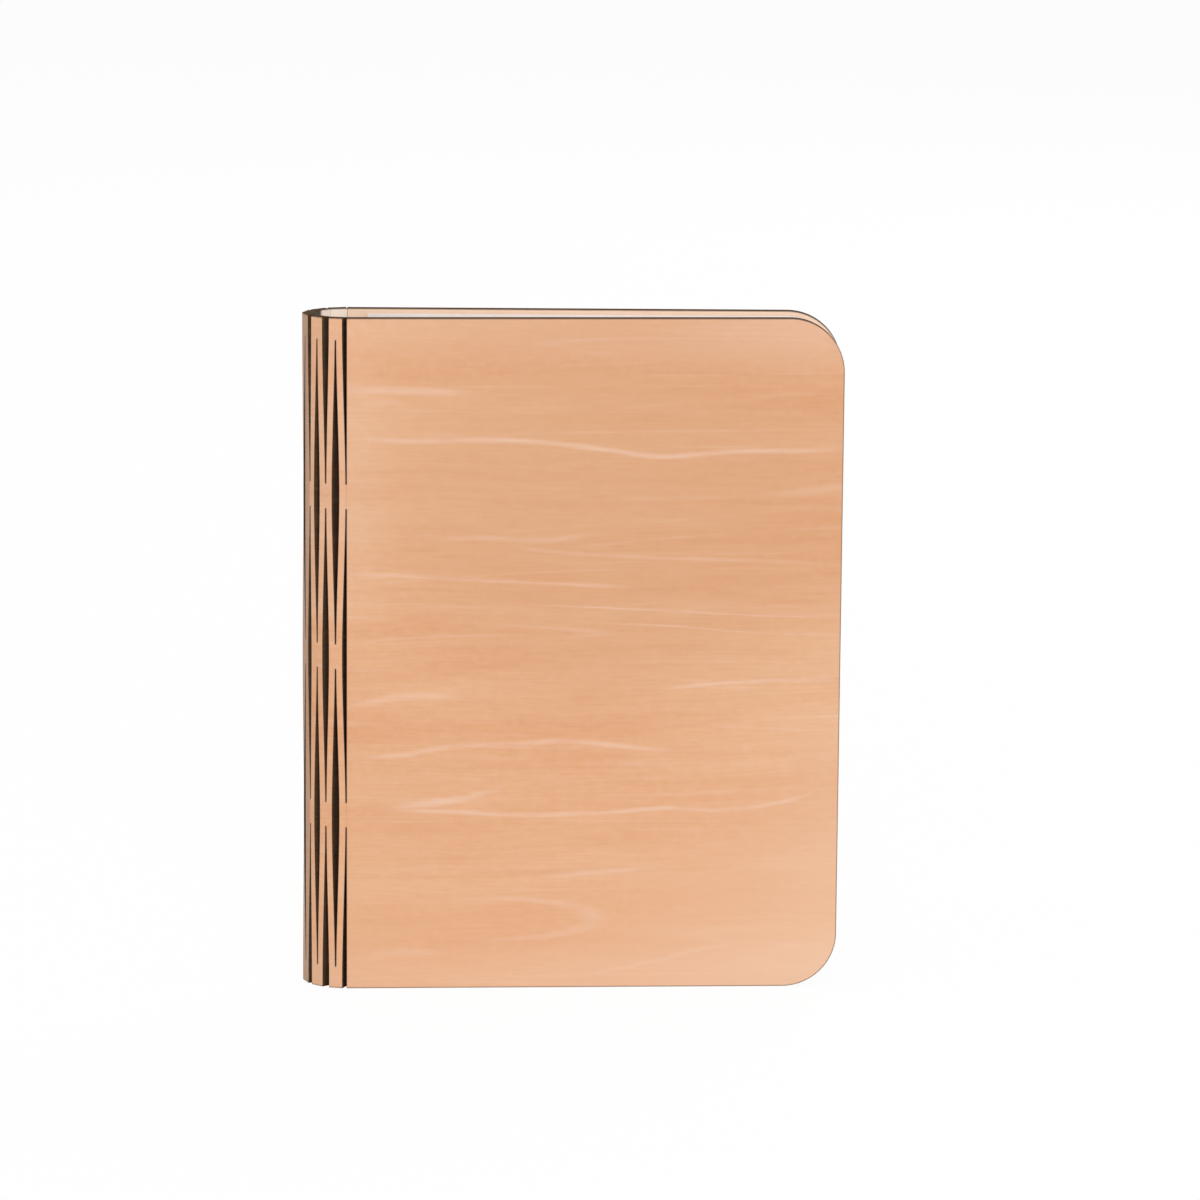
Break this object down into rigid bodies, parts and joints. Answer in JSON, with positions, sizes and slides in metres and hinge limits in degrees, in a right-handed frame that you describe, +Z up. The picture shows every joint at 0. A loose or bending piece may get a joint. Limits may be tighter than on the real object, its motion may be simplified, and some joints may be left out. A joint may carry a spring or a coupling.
{
  "type": "folding book lamp",
  "caption": "Book-shaped lamp, closed: wood-veneered covers on a lattice hinge, fanning paper pages and a light bar in the spine. Both covers swing round to meet back to back.",
  "frame": {"origin": "middle of the closed lamp's box, on the surface that it stands on", "axes": "+Z up along the spine, +X from the spine towards the fore edge, -Y towards the front cover"},
  "size_m": [0.1696, 0.025, 0.215],
  "materials": {
    "veneer": "satin",
    "burnt_wood": "matte",
    "paper": "matte",
    "anodised_aluminium": "satin",
    "opal_plastic": "satin",
    "white_plastic": "satin",
    "strip_board": "matte",
    "cell_sleeve": "gloss",
    "circuit_board": "satin",
    "nickel": "polished",
    "clear_plastic": "gloss"
  },
  "bodies": {
    "light_bar": {"bar_housing": "anodised_aluminium", "bar_diffuser": "opal_plastic", "bar_top_cap": "white_plastic", "bar_top_cap_screw_1": "nickel", "bar_top_cap_screw_2": "nickel", "bar_bottom_cap": "white_plastic", "bar_bottom_cap_screw_1": "nickel", "bar_bottom_cap_screw_2": "nickel", "led_strip_lower": "strip_board", "led_strip_upper": "strip_board", "cell_1": "cell_sleeve", "cell_2": "cell_sleeve", "cell_3": "cell_sleeve", "control_board": "circuit_board", "charging_socket": "nickel", "indicator_pipe": "clear_plastic", "reed_switch": "clear_plastic"},
    "slat_1": {"hinge_slat_1": "burnt_wood"},
    "slat_2": {"hinge_slat_2": "burnt_wood"},
    "slat_3": {"hinge_slat_3": "burnt_wood"},
    "slat_4": {"hinge_slat_4": "burnt_wood"},
    "slat_5": {"hinge_slat_5": "burnt_wood"},
    "slat_6": {"hinge_slat_6": "burnt_wood"},
    "slat_7": {"hinge_slat_7": "burnt_wood"},
    "slat_8": {"hinge_slat_8": "burnt_wood"},
    "slat_9": {"hinge_slat_9": "burnt_wood"},
    "slat_10": {"hinge_slat_10": "burnt_wood"},
    "slat_11": {"hinge_slat_11": "burnt_wood"},
    "slat_12": {"hinge_slat_12": "burnt_wood"},
    "front_cover": {"front_cover": "veneer", "front_magnet_bottom": "nickel", "front_magnet_top": "nickel", "front_trigger_magnet": "nickel", "front_endpaper": "paper"},
    "back_cover": {"back_cover": "veneer", "back_magnet_bottom": "nickel", "back_magnet_top": "nickel", "back_endpaper": "paper"},
    "front_edge": {"front_hinge_edge": "veneer"},
    "back_edge": {"back_hinge_edge": "veneer"},
    "page_1": {"page_1": "paper"},
    "page_2": {"page_2": "paper"},
    "page_3": {"page_3": "paper"},
    "page_4": {"page_4": "paper"},
    "page_5": {"page_5": "paper"},
    "page_6": {"page_6": "paper"},
    "page_7": {"page_7": "paper"},
    "page_8": {"page_8": "paper"},
    "page_9": {"page_9": "paper"},
    "page_10": {"page_10": "paper"},
    "page_11": {"page_11": "paper"},
    "page_12": {"page_12": "paper"},
    "page_13": {"page_13": "paper"},
    "page_14": {"page_14": "paper"},
    "page_15": {"page_15": "paper"},
    "page_16": {"page_16": "paper"}
  },
  "joints": [
    {"name": "front_swing", "type": "hinge", "parent": "light_bar", "child": "front_cover", "pos_m": [-0.08431, -0.00667, 0], "axis": [0, 0, -1], "range_deg": [0, 181.2]},
    {"name": "page_1_turn", "type": "hinge", "parent": "light_bar", "child": "page_1", "pos_m": [-0.08431, -0.00667, 0], "axis": [0, 0, -1], "range_deg": [0, 179.8]},
    {"name": "page_2_turn", "type": "hinge", "parent": "light_bar", "child": "page_2", "pos_m": [-0.08431, -0.00667, 0], "axis": [0, 0, -1], "range_deg": [0, 157.04]},
    {"name": "page_3_turn", "type": "hinge", "parent": "light_bar", "child": "page_3", "pos_m": [-0.08431, -0.00667, 0], "axis": [0, 0, -1], "range_deg": [0, 132.88]},
    {"name": "page_4_turn", "type": "hinge", "parent": "light_bar", "child": "page_4", "pos_m": [-0.08431, -0.00667, 0], "axis": [0, 0, -1], "range_deg": [0, 108.72]},
    {"name": "page_5_turn", "type": "hinge", "parent": "light_bar", "child": "page_5", "pos_m": [-0.08431, -0.00667, 0], "axis": [0, 0, -1], "range_deg": [0, 84.56]},
    {"name": "page_6_turn", "type": "hinge", "parent": "light_bar", "child": "page_6", "pos_m": [-0.08431, -0.00667, 0], "axis": [0, 0, -1], "range_deg": [0, 60.4]},
    {"name": "page_7_turn", "type": "hinge", "parent": "light_bar", "child": "page_7", "pos_m": [-0.08431, -0.00667, 0], "axis": [0, 0, -1], "range_deg": [0, 36.24]},
    {"name": "page_8_turn", "type": "hinge", "parent": "light_bar", "child": "page_8", "pos_m": [-0.08431, -0.00667, 0], "axis": [0, 0, -1], "range_deg": [0, 12.08]},
    {"name": "slat_6_bend", "type": "hinge", "parent": "light_bar", "child": "slat_6", "pos_m": [-0.08347, 0, 0], "axis": [0, 0, -1], "range_deg": [0, 28]},
    {"name": "slat_5_bend", "type": "hinge", "parent": "slat_6", "child": "slat_5", "pos_m": [-0.0828, -0.00292, 0], "axis": [0, 0, -1], "range_deg": [0, 45]},
    {"name": "slat_4_bend", "type": "hinge", "parent": "slat_5", "child": "slat_4", "pos_m": [-0.08139, -0.00557, 0], "axis": [0, 0, -1], "range_deg": [0, 44]},
    {"name": "slat_3_bend", "type": "hinge", "parent": "slat_4", "child": "slat_3", "pos_m": [-0.07938, -0.0078, 0], "axis": [0, 0, -1], "range_deg": [0, 43.5]},
    {"name": "slat_2_bend", "type": "hinge", "parent": "slat_3", "child": "slat_2", "pos_m": [-0.07691, -0.0095, 0], "axis": [0, 0, -1], "range_deg": [0, 28]},
    {"name": "slat_1_bend", "type": "hinge", "parent": "slat_2", "child": "slat_1", "pos_m": [-0.07412, -0.0106, 0], "axis": [0, 0, -1], "range_deg": [0, 13]},
    {"name": "front_edge_bend", "type": "hinge", "parent": "slat_1", "child": "front_edge", "pos_m": [-0.07116, -0.01104, 0], "axis": [0, 0, -1], "range_deg": [-20.3, 0]},
    {"name": "back_swing", "type": "hinge", "parent": "light_bar", "child": "back_cover", "pos_m": [-0.08431, 0.00667, 0], "axis": [0, 0, 1], "range_deg": [0, 181.2]},
    {"name": "page_16_turn", "type": "hinge", "parent": "light_bar", "child": "page_16", "pos_m": [-0.08431, 0.00667, 0], "axis": [0, 0, 1], "range_deg": [0, 179.8]},
    {"name": "page_15_turn", "type": "hinge", "parent": "light_bar", "child": "page_15", "pos_m": [-0.08431, 0.00667, 0], "axis": [0, 0, 1], "range_deg": [0, 157.04]},
    {"name": "page_14_turn", "type": "hinge", "parent": "light_bar", "child": "page_14", "pos_m": [-0.08431, 0.00667, 0], "axis": [0, 0, 1], "range_deg": [0, 132.88]},
    {"name": "page_13_turn", "type": "hinge", "parent": "light_bar", "child": "page_13", "pos_m": [-0.08431, 0.00667, 0], "axis": [0, 0, 1], "range_deg": [0, 108.72]},
    {"name": "page_12_turn", "type": "hinge", "parent": "light_bar", "child": "page_12", "pos_m": [-0.08431, 0.00667, 0], "axis": [0, 0, 1], "range_deg": [0, 84.56]},
    {"name": "page_11_turn", "type": "hinge", "parent": "light_bar", "child": "page_11", "pos_m": [-0.08431, 0.00667, 0], "axis": [0, 0, 1], "range_deg": [0, 60.4]},
    {"name": "page_10_turn", "type": "hinge", "parent": "light_bar", "child": "page_10", "pos_m": [-0.08431, 0.00667, 0], "axis": [0, 0, 1], "range_deg": [0, 36.24]},
    {"name": "page_9_turn", "type": "hinge", "parent": "light_bar", "child": "page_9", "pos_m": [-0.08431, 0.00667, 0], "axis": [0, 0, 1], "range_deg": [0, 12.08]},
    {"name": "slat_7_bend", "type": "hinge", "parent": "light_bar", "child": "slat_7", "pos_m": [-0.08347, 0, 0], "axis": [0, 0, 1], "range_deg": [0, 28]},
    {"name": "slat_8_bend", "type": "hinge", "parent": "slat_7", "child": "slat_8", "pos_m": [-0.0828, 0.00292, 0], "axis": [0, 0, 1], "range_deg": [0, 45]},
    {"name": "slat_9_bend", "type": "hinge", "parent": "slat_8", "child": "slat_9", "pos_m": [-0.08139, 0.00557, 0], "axis": [0, 0, 1], "range_deg": [0, 44]},
    {"name": "slat_10_bend", "type": "hinge", "parent": "slat_9", "child": "slat_10", "pos_m": [-0.07938, 0.0078, 0], "axis": [0, 0, 1], "range_deg": [0, 43.5]},
    {"name": "slat_11_bend", "type": "hinge", "parent": "slat_10", "child": "slat_11", "pos_m": [-0.07691, 0.0095, 0], "axis": [0, 0, 1], "range_deg": [0, 28]},
    {"name": "slat_12_bend", "type": "hinge", "parent": "slat_11", "child": "slat_12", "pos_m": [-0.07412, 0.0106, 0], "axis": [0, 0, 1], "range_deg": [0, 13]},
    {"name": "back_edge_bend", "type": "hinge", "parent": "slat_12", "child": "back_edge", "pos_m": [-0.07116, 0.01104, 0], "axis": [0, 0, 1], "range_deg": [-20.3, 0]}
  ],
  "couplings": [
    {"joint": "page_1_turn", "follows": "front_swing", "ratio": 0.99227},
    {"joint": "page_2_turn", "follows": "front_swing", "ratio": 0.86667},
    {"joint": "page_3_turn", "follows": "front_swing", "ratio": 0.73333},
    {"joint": "page_4_turn", "follows": "front_swing", "ratio": 0.6},
    {"joint": "page_5_turn", "follows": "front_swing", "ratio": 0.46667},
    {"joint": "page_6_turn", "follows": "front_swing", "ratio": 0.33333},
    {"joint": "page_7_turn", "follows": "front_swing", "ratio": 0.2},
    {"joint": "page_8_turn", "follows": "front_swing", "ratio": 0.066666},
    {"joint": "slat_6_bend", "follows": "front_swing", "ratio": 0.15452},
    {"joint": "slat_5_bend", "follows": "front_swing", "ratio": 0.24834},
    {"joint": "slat_4_bend", "follows": "front_swing", "ratio": 0.24283},
    {"joint": "slat_3_bend", "follows": "front_swing", "ratio": 0.24007},
    {"joint": "slat_2_bend", "follows": "front_swing", "ratio": 0.15452},
    {"joint": "slat_1_bend", "follows": "front_swing", "ratio": 0.071743},
    {"joint": "front_edge_bend", "follows": "front_swing", "ratio": -0.11203},
    {"joint": "page_16_turn", "follows": "back_swing", "ratio": 0.99227},
    {"joint": "page_15_turn", "follows": "back_swing", "ratio": 0.86667},
    {"joint": "page_14_turn", "follows": "back_swing", "ratio": 0.73333},
    {"joint": "page_13_turn", "follows": "back_swing", "ratio": 0.6},
    {"joint": "page_12_turn", "follows": "back_swing", "ratio": 0.46667},
    {"joint": "page_11_turn", "follows": "back_swing", "ratio": 0.33333},
    {"joint": "page_10_turn", "follows": "back_swing", "ratio": 0.2},
    {"joint": "page_9_turn", "follows": "back_swing", "ratio": 0.066666},
    {"joint": "slat_7_bend", "follows": "back_swing", "ratio": 0.15452},
    {"joint": "slat_8_bend", "follows": "back_swing", "ratio": 0.24834},
    {"joint": "slat_9_bend", "follows": "back_swing", "ratio": 0.24283},
    {"joint": "slat_10_bend", "follows": "back_swing", "ratio": 0.24007},
    {"joint": "slat_11_bend", "follows": "back_swing", "ratio": 0.15452},
    {"joint": "slat_12_bend", "follows": "back_swing", "ratio": 0.071743},
    {"joint": "back_edge_bend", "follows": "back_swing", "ratio": -0.11203}
  ]
}
